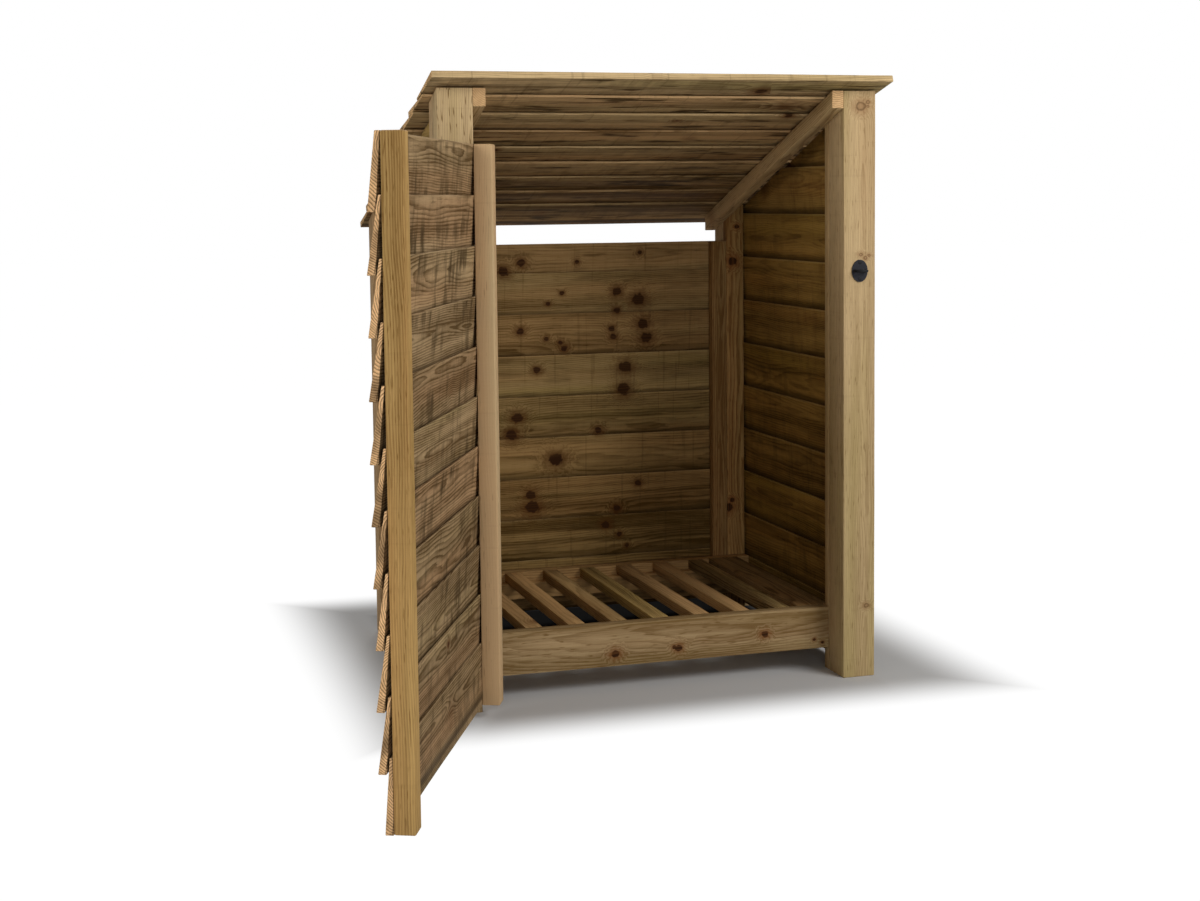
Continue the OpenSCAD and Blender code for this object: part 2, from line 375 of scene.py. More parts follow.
# %% [markdown]
# All the walls, the door and the roof are clad with feather-edge boards: sawn wedges, thick at
# the lower edge and thin at the upper one, each lapping the one below. The board is modelled once,
# as a cube cut into a grid, and every board in the store is a copy of it that is fitted
# to its own place. The places are measured in the frame, where each board is a separate lump.

# %% One board, and where the boards lie
BOARD_CUTS = ((X, 18), (Z, 4))
POINT_DIGITS = 5
bpy.ops.object.select_all(action="DESELECT")
bpy.ops.mesh.primitive_cube_add(size=1, location=(0.5, 0.5, 0.5))
master = bpy.context.object
master.name = "board_master"
bpy.ops.object.transform_apply(location=True)
with editing(master):
    for axis, cuts in BOARD_CUTS:
        for k in range(1, cuts):
            cut_at(axis * (k / cuts), axis)
print("board grid:", len(master.data.polygons), "faces")


def rounded(point):
    """A point as a key, so that points in one place count as one."""
    return tuple(round(c, POINT_DIGITS) for c in point)


def lumps(node):
    """The separate lumps of a node, each as a list of points."""
    mesh = frame["nodes"][node].data
    points = {}
    for v in mesh.vertices:
        points.setdefault(rounded(v.co), len(points))
    group = list(range(len(points)))

    def root(i):
        while group[i] != i:
            i = group[i]
        return i

    for face in mesh.polygons:
        ids = [points[rounded(mesh.vertices[i].co)] for i in face.vertices]
        for i in ids[1:]:
            group[root(i)] = root(ids[0])
    found = {}
    for point, i in points.items():
        found.setdefault(root(i), []).append(Vector(point))
    return list(found.values())


def board_places(node, along, up, out):
    """For each board, from the lowest up: its length and the four corners of its first end."""
    places = []
    for points in lumps(node):
        start = min(p.dot(along) for p in points)
        length = max(p.dot(along) for p in points) - start
        end = sorted((p for p in points if p.dot(along) < start + MM), key=lambda p: p.dot(up))
        low_in, low_out = sorted(end[:2], key=lambda p: p.dot(out))
        top_in, top_out = sorted(end[-2:], key=lambda p: p.dot(out))
        places.append((length, low_in, low_out, top_in, top_out))
    return sorted(places, key=lambda place: place[1].dot(up))


# %% [markdown]
# No board in such a wall is quite like its neighbour. Each copy is bowed a little along its
# length, its ends stop a few millimetres short or true, its edge wanders and, on the door, its
# free end stands off. These differences could be set board by board. One seeded draw gives them
# to all, and the store is the same on every run.

# %% Laying a board
BOW = 1.5 * MM
EDGE_WANDER, EDGE_WAVES = (0.4 * MM, 1.4 * MM), 7
FLARE_SHARE = (0.2, 1.0)


def lay_board(place, along, out, ragged, twist):
    """A copy of the master board, fitted to its place, with its own bow, twist and ends."""
    length, low_in, low_out, top_in, top_out = place
    piece = copy_of(master)
    lift = draws.uniform(-BOW, BOW)
    phase = draws.uniform(0, math.tau)
    trim = [draws.uniform(0, ragged), draws.uniform(0, ragged)]
    skew = draws.uniform(-ragged, ragged) / 2
    wander = draws.uniform(*EDGE_WANDER)
    flare = draws.uniform(*FLARE_SHARE) * twist
    rise = piece.data.attributes.new("rise", "FLOAT", "POINT")
    for v in piece.data.vertices:
        t, depth, w = v.co
        rise.data[v.index].value = w if depth < 0.5 else 1.0
        low = low_in.lerp(low_out, depth)
        top = top_in.lerp(top_out, depth)
        reach = trim[0] + (length - trim[0] - trim[1]) * t + skew * (w - 0.5) * (2 * t - 1)
        swing = lift * math.sin(math.pi * t) * w * (1 - w) * 4 + flare * t * (1 - w)
        edge = wander * math.sin(phase + EDGE_WAVES * t) * (1 - w)
        v.co = low.lerp(top, w) + along * reach + out * swing + (top - low).normalized() * edge
    return piece


def face_outwards(piece):
    """Turns all faces outwards."""
    with editing(piece):
        bpy.ops.mesh.normals_make_consistent(inside=False)


# %% [markdown]
# A wall is a row of such boards. They could stay apart, but a wall is one node in the frame, so
# its boards are joined in one piece that replaces it. The looks go by row, from the lowest up. Low
# rows of the walls and the roof are the darkest: painted shade, as less light reaches the foot of
# the walls and the roof's low back edge.

# %% Cladding
BOARD_SWELL = 0.8 * MM
PLAIN_RAGGED = 1.0 * MM


def clad(node, along, up, out, body, looks, ragged=PLAIN_RAGGED, twist=0.0, thick_top=0.0,
         cut_by_roof=False):
    """All the boards of one wall, joined in one piece. The top one's upper edge may be thicker."""
    boards = []
    places = board_places(node, along, up, out)
    places[-1] = places[-1][:4] + (places[-1][4] + out * thick_top,)
    for k, place in enumerate(places):
        inner_row = 0 < k < len(places) - 1
        board = lay_board(place, along, out, ragged, twist if inner_row else 0.0)
        if cut_by_roof:
            cut_under_roof(board)
        face_outwards(board)
        weather(board, BOARD_SWELL)
        give_grain(board, along, up, looks[k % len(looks)])
        boards.append(board)
    wall = join(boards, node + "_laid")
    stand_in(wall, node, body)
    print(node, "has", len(boards), "boards and", len(wall.data.polygons), "faces")


# The tones in these lists darken towards the lowest rows: painted shade. On the side walls each row up
# is a step paler.
SIDE_ROWS, PAINTED_SHADE_PER_ROW = 12, 0.033
BACK_LOOKS = [(0.77, 0.30, 0.45), (0.74, 0.32, 0.35), (0.71, 0.18, 0.30), (0.60, 0.36, 0.25),
              (0.53, 0.40, 0.20), (0.46, 0.44, 0.12), (0.44, 0.05, 0.10), (0.29, 0.42, 0.08),
              (0.24, 0.20, 0.03)]
SIDE_LOOKS = [(0.56 - PAINTED_SHADE_PER_ROW * k, 0.32 + 0.11 * (k % 3), 0.72 + 0.06 * (k % 3))
              for k in range(SIDE_ROWS)]
ROOF_LOOKS = [(0.85, 0.40, 0.30), (0.78, 0.30, 0.30), (0.70, 0.45, 0.25), (0.58, 0.30, 0.20),
              (0.55, 0.40, 0.20), (0.48, 0.25, 0.20), (0.48, 0.40, 0.15), (0.40, 0.30, 0.15),
              (0.36, 0.60, 0.00)]
DOOR_LOOKS = [(0.50, 0.40, 0.15), (0.45, 0.30, 0.10), (0.52, 0.50, 0.10), (0.40, 0.35, 0.15),
              (0.46, 0.25, 0.10)]
roof_up = Vector((0, -1, roof_slope)).normalized()
clad("left_wall_boards", Y, Z, -X, "store", SIDE_LOOKS, cut_by_roof=True)
clad("right_wall_boards", Y, Z, X, "store", SIDE_LOOKS, cut_by_roof=True)
clad("back_wall_boards", X, Z, Y, "store", BACK_LOOKS)
clad("roof_boards", X, roof_up, roof_normal, "store", ROOF_LOOKS, ragged=2.5 * MM)
clad("door_boards", door_along, Z, -door_in, "door", DOOR_LOOKS, ragged=3.0 * MM, twist=4.5 * MM,
     thick_top=4.0 * MM)
bpy.data.objects.remove(master)

# %% [markdown]
# Each board is nailed once to every timber behind it, low down where it laps the next board.
# A nail's head is a flat disc with a soft rim. It could be a bump in the finish, but a shape also
# shows from the side. It is modelled once, as a short cylinder whose top edge is bevelled, and
# copied to each place that the frame gives.

# %% Nail heads
HEAD_R, HEAD_T, HEAD_RIM = 3.2 * MM, 1.2 * MM, 0.5 * MM
HEAD_SIDES = 12
HEAD_STANDS = 0.3
NAIL_DRIFT, NAIL_RISE = (-4, 4), (0.24, 0.30)
ROOF_CLEAR = 0.01
HEAD_SMOOTH_BELOW = math.radians(35)
bpy.ops.object.select_all(action="DESELECT")
bpy.ops.mesh.primitive_cylinder_add(vertices=HEAD_SIDES, radius=HEAD_R, depth=HEAD_T)
head = bpy.context.object
with editing(head):
    pick_edges(head, lambda point: point.z > 0)
    bpy.ops.mesh.bevel(offset=HEAD_RIM, segments=2)


def head_at(spot, facing, scale=1.0):
    """A copy of the head at a spot, facing one way."""
    copy = copy_of(head)
    turn = Z.rotation_difference(facing).to_matrix().to_4x4()
    copy.data.transform(Matrix.Translation(spot) @ turn @ Matrix.Scale(scale, 4))
    return copy


def nail_row(node, along, up, out, supports):
    """Heads on every board of a row, over each timber that carries it."""
    heads = []
    for length, low_in, low_out, top_in, top_out in board_places(node, along, up, out):
        facing = along.cross(top_out - low_out).normalized()
        facing = facing if facing.dot(out) > 0 else -facing
        for support in supports:
            reach = (centre(support) - low_out).dot(along) + draws.uniform(*NAIL_DRIFT) * MM
            spot = low_out.lerp(top_out, draws.uniform(*NAIL_RISE)) + along * reach
            below_roof = (roof_point - spot).dot(roof_normal)
            if node == "roof_boards" or below_roof >= ROOF_CLEAR:
                heads.append(head_at(spot + facing * HEAD_T * HEAD_STANDS, facing))
    return heads


def join_heads(name, heads, body):
    """Joins heads in one piece of ironwork that rides on a body."""
    joined = join(heads, name)
    only(joined)
    bpy.ops.object.shade_smooth_by_angle(angle=HEAD_SMOOTH_BELOW)
    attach(joined, body)
    return joined


store_nails = nail_row("left_wall_boards", Y, Z, -X, ["left_front_batten", "left_rear_batten"])
store_nails += nail_row("right_wall_boards", Y, Z, X, ["right_front_batten", "right_rear_batten"])
store_nails += nail_row("back_wall_boards", X, Z, Y, ["left_back_batten", "right_back_batten"])
store_nails += nail_row("roof_boards", X, roof_up, roof_normal, ["left_rafter", "right_rafter"])
door_nails = nail_row("door_boards", door_along, Z, -door_in, ["door_hinge_stile", "door_free_stile"])
print("nail heads:", len(store_nails), "on the store and", len(door_nails), "on the door")
nails = [join_heads("wall_and_roof_nails", store_nails, "store"),
         join_heads("door_nails", door_nails, "door")]

# %% [markdown]
# The staple's plate is held by two screws. A screw could have its slot and thread, but these are
# painted over and a few millimetres wide. So their heads are the same disc, a little larger,
# seated in the plate's two holes above and below the loop.

# %% Staple screws
SCREW_SCALE, SCREW_SPREAD = 1.25, 17.5 * MM
plate_low, plate_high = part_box("staple_plate")
plate_mid = Vector(((plate_low.x + plate_high.x) / 2, plate_low.y, (plate_low.z + plate_high.z) / 2))
screw_spots = [plate_mid + Z * offset for offset in (-SCREW_SPREAD, SCREW_SPREAD)]
screw_heads = [head_at(spot, -Y, SCREW_SCALE) for spot in screw_spots]
screws = join_heads("staple_screws", screw_heads, "store")
bpy.data.objects.remove(head)
print("staple screws at heights", [round(spot.z, 4) for spot in screw_spots])

# %% [markdown]
# Shader maths reads best as plain expressions. The small class below wraps one socket of a node
# tree, so that mask * 0.5 + 0.2 adds the Math nodes by itself. Its one method adds any other
# node: its settings first, then the values or links of its sockets.

# %% Shader maths as expressions


class Field:
    """A value that changes over a surface."""

    def __init__(self, tree, socket):
        self.tree, self.socket = tree, socket

    def add(self, kind, settings=None, out=0, **inputs):
        """Adds a node and returns one output. Inputs go by name, or by number as i0, i1 and so on."""
        node = self.tree.nodes.new(kind)
        for name, value in (settings or {}).items():
            setattr(node, name, value)
        for name, value in inputs.items():
            key = int(name[1:]) if name[0] == "i" and name[1:].isdigit() else name.replace("_", " ")
            if isinstance(value, Field):
                self.tree.links.new(value.socket, node.inputs[key])
            else:
                node.inputs[key].default_value = value
        return Field(self.tree, node.outputs[out])

    def maths(self, operation, a, b=0.0, clamp=False):
        return self.add("ShaderNodeMath", {"operation": operation, "use_clamp": clamp}, i0=a, i1=b)

    def __add__(self, other):
        return self.maths("ADD", self, other)

    def __radd__(self, other):
        return self.maths("ADD", other, self)

    def __sub__(self, other):
        return self.maths("SUBTRACT", self, other)

    def __rsub__(self, other):
        return self.maths("SUBTRACT", other, self)

    def __mul__(self, other):
        return self.maths("MULTIPLY", self, other)

    def __rmul__(self, other):
        return self.maths("MULTIPLY", other, self)

    def __truediv__(self, other):
        return self.maths("DIVIDE", self, other)

    def __rtruediv__(self, other):
        return self.maths("DIVIDE", other, self)

    def __pow__(self, other):
        return self.maths("POWER", self, other)

    def clamped(self):
        return self.maths("ADD", self, 0.0, True)

    def greater(self, other):
        return self.maths("MAXIMUM", self, other)

    def fade(self, low, high):
        """0 below low, 1 above high, smooth between."""
        return self.add("ShaderNodeMapRange", {"interpolation_type": "SMOOTHSTEP"},
                        i0=self, i1=low, i2=high, i3=0.0, i4=1.0)

    def parts(self):
        """The three numbers of a vector."""
        return [self.add("ShaderNodeSeparateXYZ", None, k, i0=self) for k in range(3)]

    def blend(self, a, b):
        """Colour a where the field is 0, colour b where it is 1."""
        return self.add("ShaderNodeMix", {"data_type": "RGBA"}, 2, i0=self, i6=a, i7=b)

    def tint(self, colour, cast):
        """The colour, multiplied by a cast where the field is 1."""
        return self.add("ShaderNodeMix", {"data_type": "RGBA", "blend_type": "MULTIPLY"}, 2,
                        i0=self, i6=colour, i7=cast)


def rgb(r, g, b):
    return (r, g, b, 1.0)


def shade(colour, amount):
    """The same colour, darker or lighter."""
    return rgb(*(c * amount for c in colour))


def paint(name):
    """A new material: its node tree's start field and its surface shader."""
    material = bpy.data.materials.new(name)
    material.use_nodes = True
    tree = material.node_tree
    shader = next(n for n in tree.nodes if n.type == "BSDF_PRINCIPLED")
    return material, Field(tree, None), shader


def feed(start, shader, **inputs):
    """Links fields to the shader, or sets plain values on it."""
    for name, value in inputs.items():
        socket = shader.inputs[name.replace("_", " ")]
        if isinstance(value, Field):
            start.tree.links.new(value.socket, socket)
        else:
            socket.default_value = value


def dress(piece, material):
    """Gives a piece one finish."""
    piece.data.materials.clear()
    piece.data.materials.append(material)


# %% [markdown]
# Knots are the feet of branches: dark round spots that push the growth rings aside. They could be
# modelled, but on sawn wood they lie flush. Most are round spots in some cells of a pattern. Those
# that are part of how this store looks are placed one by one, and on the pale right post they show as
# rings with a pale heart.

# %% Knots
KNOT_SIZE = 0.10
KNOT_SQUEEZE = 0.85
RIM_WAVES = 110.0


def knots_in_cells(place, share):
    """Knots in some cells of a pattern: how near a point is, and the knot itself."""
    far = place.add("ShaderNodeTexVoronoi", None, "Distance", Vector=place, Scale=1.0)
    draw = place.add("ShaderNodeTexVoronoi", None, "Color", Vector=place, Scale=1.0)
    chosen, spread = (draw.add("ShaderNodeSeparateColor", None, k, i0=draw) for k in (0, 1))
    chosen = chosen.fade(1 - share, 1 - share + 0.01)
    far = far / (KNOT_SIZE * (0.35 + spread))
    return (1 - far.fade(0.6, 4.5)) * chosen, (1 - far.fade(0.75, 1.15)) * chosen


def knots_by_hand(start, spots, ringed):
    """Knots at chosen places, each as its x, its z and its radius in metres, seen from the front."""
    place = start.add("ShaderNodeTexCoord", None, "Object")
    x, _, z = place.parts()
    rim = place.add("ShaderNodeTexNoise", None, 0, Vector=place, Scale=RIM_WAVES, Detail=2.0) + 0.5
    near, knot = None, None
    for spot_x, spot_z, radius in spots:
        gap_x, gap_z = (x - spot_x) * KNOT_SQUEEZE, z - spot_z
        far = (gap_x * gap_x + gap_z * gap_z) ** 0.5 * rim / radius
        halo, heart = 1 - far.fade(0.6, 3.6), 1 - far.fade(0.80, 1.10)
        heart = heart * far.fade(0.35, 0.80) if ringed else heart
        near = near.greater(halo) if near else halo
        knot = knot.greater(heart) if knot else heart
    return near, knot


# %% [markdown]
# Growth rings are cylinders round the trunk's middle, which lies a few centimetres outside each
# piece. A Wave texture could draw them, but a knot couldn't push them aside. So the distance to the
# middle is counted in rings, bent by slow noise, and what is left after the whole rings says where
# in its ring a point lies. All the noise is stretched along the grain: its two numbers are the
# waves to the metre along the grain and across it.

# %% Grain
RINGS_PER_METRE = 250.0
WEATHERED = 0.15


def grain_noise(axes, along, across, detail=2.0, shift=0.0):
    """Noise from 0 to 1 that is stretched along the grain."""
    s, a, b = axes
    place = s.add("ShaderNodeCombineXYZ", None, 0, i0=s * along + shift, i1=a * across, i2=b * across)
    return s.add("ShaderNodeTexNoise", None, 0, Scale=1.0, Detail=detail, Roughness=0.55, Vector=place)


def growth_rings(axes, near, fine):
    """The dark late wood of each ring."""
    _, a, b = axes
    off_a = a + (grain_noise(axes, 0.7, 4.0) - 0.5) * 0.10
    off_b = b + (grain_noise(axes, 2.2, 7.0) - 0.5) * 0.03
    trunk = (off_a * off_a + off_b * off_b) ** 0.5
    ring = trunk * RINGS_PER_METRE + near * 2.2 + (fine - 0.5) * 0.9
    ring = ring.maths("FRACT", ring)
    return ring.fade(0.25, 0.9) * (1 - ring.fade(0.91, 1.0))


def read_wood(start, knots, spots, ringed):
    """All that the finish reads: the piece's look, where its inner face is, its knots and its grain."""
    wood, look = (start.add("ShaderNodeAttribute", {"attribute_name": name}, "Vector")
                  for name in ("wood", "look"))
    end, rise = (start.add("ShaderNodeAttribute", {"attribute_name": name}, "Fac")
                 for name in ("end", "rise"))
    inner = 1 - rise.fade(0.96, 0.99)
    tone, hue, yellow = look.parts()
    tone, yellow = tone - (1 - inner) * WEATHERED, yellow * (0.3 + inner * 0.7)
    axes = s, a, b = wood.parts()
    cells = s.add("ShaderNodeCombineXYZ", None, 0, i0=s * 8.0, i1=a * 8.0, i2=b * 1.5)
    near, knot = knots_in_cells(cells, knots)
    if spots:
        near_hand, knot_hand = knots_by_hand(start, spots, ringed)
        near, knot = near.greater(near_hand), knot.greater(knot_hand)
    fine = grain_noise(axes, 9.0, 110.0, 3.0)
    return SimpleNamespace(axes=axes, end=end, rise=rise, inner=inner, tone=tone, hue=hue, yellow=yellow,
                           near=near, knot=knot, fine=fine, late=growth_rings(axes, near, fine),
                           fibre=grain_noise(axes, 18.0, 520.0), patch=grain_noise(axes, 3.0, 16.0, 3.0))


# %% [markdown]
# Pressure-treated pine is tan with a green, pink or yellow cast. Two colours could be mixed by
# one noise, but sawn wood has detail at every scale, from broad bands to single fibres, so
# several are added up. A cut end is paler and shows the rings as arcs. Rough boards also carry
# dark smudges across the grain and blots, and along each lap a darker band on the inner face:
# painted shadow where the board below overlaps it.

# %% Colours of treated pine
GREEN_CAST, PINK_CAST = rgb(0.92, 0.99, 0.80), rgb(1.0, 0.88, 0.84)
YELLOW_CAST, END_CAST = rgb(1.0, 0.84, 0.50), rgb(1.0, 0.88, 0.80)
SMUDGE_SHADE, BLOT_SHADE, LAP_SHADE, SAW_SHADE = 0.48, 0.45, 0.40, 0.55
CAST_STRENGTH = 0.8


def face_colour(wood, pale, deep, rings, speckle, figure):
    """A clean sawn face."""
    streak = grain_noise(wood.axes, 1.1, 55.0, 4.0, 5.0) - 0.5
    broad = grain_noise(wood.axes, 0.8, 14.0, 3.0, 17.0) - 0.5
    dash = grain_noise(wood.axes, 34.0, 300.0, 1.0).fade(0.60, 0.74)
    bands = streak * 1.5 + broad * 1.1 + (wood.patch - 0.5) * 0.75
    darkness = (wood.late * rings * (0.5 + wood.patch) + bands * figure + (wood.fibre - 0.5) * 0.55
                + dash * speckle + wood.tone - 0.12)
    colour = darkness.clamped().blend(rgb(*pale), rgb(*deep))
    cast = grain_noise(wood.axes, 0.9, 13.0, 2.0, 31.0) + (wood.hue - 0.5) * 0.7
    colour = (cast.fade(0.50, 0.78) * CAST_STRENGTH).tint(colour, GREEN_CAST)
    colour = ((1 - cast.fade(0.22, 0.50)) * CAST_STRENGTH).tint(colour, PINK_CAST)
    return wood.yellow.tint(colour, YELLOW_CAST)


def end_colour(wood, colour, pale, deep, figure, end_pale):
    """The same with its cut ends."""
    cut = (wood.late * 0.7 * figure + (wood.fine - 0.5) * 0.6 + wood.tone * 0.2).clamped()
    cut = cut.blend(shade(pale, end_pale), shade(deep, 1.3))
    return wood.end.blend(colour, wood.end.tint(cut, END_CAST))


def rough_marks(wood, colour, deep, smudge, blotch, lap):
    """The same with smudges, blots and a painted shadow along the laps."""
    rub = grain_noise(wood.axes, 30.0, 9.0, 3.0, 3.0).fade(0.46, 0.64)
    rub = rub * grain_noise(wood.axes, 5.0, 9.0, 2.0, 8.0).fade(0.38, 0.58)
    stroke = grain_noise(wood.axes, 48.0, 10.0, 3.0, 21.0).fade(0.48, 0.68)
    stroke = stroke * grain_noise(wood.axes, 3.0, 8.0, 2.0, 2.0).fade(0.38, 0.60)
    smear = (rub * 0.8 + stroke * 0.45) * (0.15 + wood.inner * 0.85) * smudge
    colour = smear.clamped().blend(colour, shade(deep, SMUDGE_SHADE))
    if blotch:
        blot = grain_noise(wood.axes, 6.0, 42.0, 3.0, 41.0).fade(0.55, 0.66) * wood.inner * blotch
        colour = blot.clamped().blend(colour, shade(deep, BLOT_SHADE))
    # Painted shadow: a darker band low on each board's inner face, along the lap.
    if lap:
        lap_shadow = wood.rise.fade(0.08, 0.14) * (1 - wood.rise.fade(0.16, 0.16 + lap))
        colour = (lap_shadow * (0.45 + wood.patch * 0.6)).clamped().blend(colour, shade(deep, LAP_SHADE))
    return colour


# %% [markdown]
# The saw leaves fine marks across the grain, and late wood and fibres stand a little proud. They
# are far too fine for a mesh, so they darken the colour and raise a Bump. Sawn wood hardly
# shines, so the shader's specular level is low.

# %% Treated pine
KNOT_HALO, KNOT_HEART = (0.95, 0.50, 0.30), rgb(0.036, 0.013, 0.004)
SAWN_GLOSS = 0.07
BUMP_DEPTH = 0.8 * MM


def treated_pine(name, pale, deep, rings=0.3, knots=0.1, smudge=0.0, saw=0.2, speckle=0.2, lap=0.0,
                 blotch=0.0, figure=1.0, knot_dark=1.0, end_pale=1.5, spots=None, ringed=False):
    """Sawn pine. The numbers say how strong each kind of mark is."""
    material, start, shader = paint(name)
    wood = read_wood(start, knots, spots, ringed)
    colour = face_colour(wood, pale, deep, rings, speckle, figure)
    colour = end_colour(wood, colour, pale, deep, figure, end_pale)
    colour = rough_marks(wood, colour, deep, smudge, blotch, lap)

    kerf = grain_noise(wood.axes, 240.0, 10.0) - 0.5
    line = grain_noise(wood.axes, 90.0, 3.0, 1.0, 11.0).fade(0.62, 0.70)
    colour = (line * saw * 0.28 + kerf * saw * 0.3).clamped().blend(colour, shade(deep, SAW_SHADE))
    halo = rgb(*(c * k for c, k in zip(deep, KNOT_HALO)))
    colour = (wood.near ** 2.0 * 0.70 * knot_dark).clamped().blend(colour, halo)
    colour = (wood.knot * (1.0 - wood.late * 0.35) * knot_dark).clamped().blend(colour, KNOT_HEART)

    torn = grain_noise(wood.axes, 30.0, 40.0, 3.0) - 0.5
    height = (wood.late * rings * 0.8 + (wood.fibre - 0.5) * 0.5 + kerf * saw * 2.2 - line * saw * 0.8
              + torn * saw * 1.5 - wood.knot * 0.3)
    bump = start.add("ShaderNodeBump", None, 0, Strength=0.6, Distance=BUMP_DEPTH, Height=height)
    feed(start, shader, Base_Color=colour, Normal=bump, Roughness=(0.68 + wood.patch * 0.2).clamped(),
         Specular_IOR_Level=SAWN_GLOSS)
    return material


# %% [markdown]
# Each kind of timber gets its own pair of colours, a pale and a deep one. The frame's timbers are
# the smoothest, and the boards are rough. A few pieces that show well differ from their kind, or
# have knots placed one by one: two clusters on the back wall, a ringed knot at the top of the right
# post and a few more. One finish for all the wood would be shorter, but would look printed.

# %% Finishes of the timbers
POST_PALE, POST_DEEP = (0.56, 0.410, 0.225), (0.180, 0.105, 0.040)
SLAT_PALE, SLAT_DEEP = (0.50, 0.34, 0.155), (0.110, 0.064, 0.022)
WALL_PALE, WALL_DEEP = (0.40, 0.270, 0.100), (0.085, 0.048, 0.011)
BACK_PALE = (0.42, 0.285, 0.122)
ROOF_PALE, ROOF_DEEP = (0.62, 0.445, 0.230), (0.115, 0.066, 0.022)
DOOR_PALE, DOOR_DEEP = (0.44, 0.310, 0.170), (0.100, 0.058, 0.022)
POST = dict(pale=POST_PALE, deep=POST_DEEP, knots=0.04, rings=0.35, speckle=0.35, figure=0.8,
            end_pale=1.15)
WALL = dict(pale=WALL_PALE, deep=WALL_DEEP, knots=0.10, smudge=0.3, saw=0.8, lap=0.16, blotch=0.25)
LEFT_POST = POST | dict(speckle=0.9)
RIGHT_POST = POST | dict(knots=0.0, rings=0.2, figure=0.5, knot_dark=0.6, ringed=True)
RAIL = POST | dict(rings=0.25)
BACK = WALL | dict(pale=BACK_PALE, knots=0.03, smudge=0.1)
BACK_KNOTS = [(0.315, 0.880, 0.009), (0.270, 0.860, 0.011), (0.455, 0.880, 0.005), (0.615, 0.900, 0.005),
              (0.415, 0.805, 0.005), (0.380, 0.780, 0.005), (0.555, 0.805, 0.010), (0.610, 0.785, 0.014),
              (0.555, 0.760, 0.007), (0.310, 0.715, 0.008), (0.375, 0.695, 0.005), (0.410, 0.685, 0.005),
              (0.420, 0.670, 0.007), (0.540, 0.715, 0.007), (0.545, 0.695, 0.007), (0.620, 0.725, 0.012),
              (0.630, 0.690, 0.012), (0.350, 0.620, 0.008), (0.575, 0.620, 0.014), (0.570, 0.565, 0.014),
              (0.300, 0.505, 0.012), (0.285, 0.465, 0.012), (0.505, 0.465, 0.008), (0.395, 0.400, 0.015),
              (0.605, 0.330, 0.007), (0.335, 0.285, 0.015), (0.330, 0.315, 0.010), (0.550, 0.270, 0.008),
              (0.520, 0.230, 0.009), (0.555, 0.205, 0.006), (0.575, 0.175, 0.005)]
POST_KNOTS = [(0.869, 1.219, 0.010), (0.886, 1.228, 0.004), (0.886, 1.219, 0.003), (0.870, 0.908, 0.004),
              (0.881, 0.901, 0.004), (0.889, 0.906, 0.003), (0.884, 0.155, 0.005)]
REAR_KNOTS = [(0.847, 0.875, 0.010), (0.859, 0.960, 0.005), (0.834, 0.260, 0.010), (0.843, 0.278, 0.006)]
RAIL_KNOTS = [(0.680, 0.091, 0.007), (0.483, 0.077, 0.007), (0.342, 0.076, 0.008), (0.473, 0.080, 0.004),
              (0.796, 0.070, 0.003), (0.815, 0.062, 0.003)]
slot_finish = {"frame_timber": treated_pine("frame_pine", **POST),
               "floor_timber": treated_pine("floor_pine", SLAT_PALE, SLAT_DEEP, knots=0.05, saw=0.3),
               "wall_boards": treated_pine("wall_pine", **WALL),
               "roof_boards": treated_pine("roof_pine", ROOF_PALE, ROOF_DEEP, knots=0.35, smudge=0.3,
                                           saw=0.8, lap=0.08, blotch=0.9)}
# The door boards' cut ends are 2.3 times as pale as their face colour: partly the paler wood of a cut
# end, partly painted light on the ends.
own_finish = {"door_boards": treated_pine("door_pine", DOOR_PALE, DOOR_DEEP, knots=0.12, smudge=0.8,
                                          saw=1.0, lap=0.12, rings=0.55, end_pale=2.3),
              "left_front_post": treated_pine("left_post_pine", **LEFT_POST),
              "back_wall_boards": treated_pine("back_pine", **BACK, spots=BACK_KNOTS),
              "right_front_post": treated_pine("right_post_pine", **RIGHT_POST, spots=POST_KNOTS),
              "right_rear_batten": treated_pine("rear_batten_pine", **POST, spots=REAR_KNOTS),
              "front_rail": treated_pine("rail_pine", **RAIL, spots=RAIL_KNOTS)}
for node, piece in timbers.items():
    dress(piece, own_finish.get(node, slot_finish[slot_of[node]]))
print("finishes:", sorted(m.name for m in bpy.data.materials if m.name.endswith("_pine")))

# %% [markdown]
# The staple and the hinges are black-painted iron, and the nails are dull zinc. Plain black would
# look cut out, so the paint is a little uneven and rubbed to grey in specks, and the zinc has
# brown specks of rust. Each reads one fine noise, which also roughens it.

# %% Ironwork
PAINT_SPECKS, RUST_SPECKS = 260.0, 400.0
PLATE_BLACK, LOOP_BLACK = (0.011, 0.011, 0.015), (0.003, 0.003, 0.004)
RUBBED_GREY = rgb(0.06, 0.055, 0.055)
ZINC, RUST = rgb(0.22, 0.21, 0.20), rgb(0.10, 0.055, 0.03)


def fine_specks(start, scale, detail):
    """Fine noise in the piece's own place."""
    place = start.add("ShaderNodeTexCoord", None, "Object")
    return place.add("ShaderNodeTexNoise", None, 0, Vector=place, Scale=scale, Detail=detail)


def black_iron(name, black):
    """Satin black paint with a few rubbed specks."""
    material, start, shader = paint(name)
    speck = fine_specks(start, PAINT_SPECKS, 3.0)
    bump = start.add("ShaderNodeBump", None, 0, Strength=0.3, Distance=0.4 * MM, Height=speck)
    feed(start, shader, Base_Color=(speck.fade(0.62, 0.74) * 0.5).blend(rgb(*black), RUBBED_GREY),
         Roughness=0.5 + speck * 0.2, Normal=bump, Specular_IOR_Level=0.18)
    return material


def nail_zinc(name):
    """Dull zinc with brown specks of rust."""
    material, start, shader = paint(name)
    speck = fine_specks(start, RUST_SPECKS, 2.0)
    feed(start, shader, Base_Color=speck.fade(0.45, 0.65).blend(ZINC, RUST),
         Roughness=0.45 + speck * 0.3, Metallic=0.7)
    return material


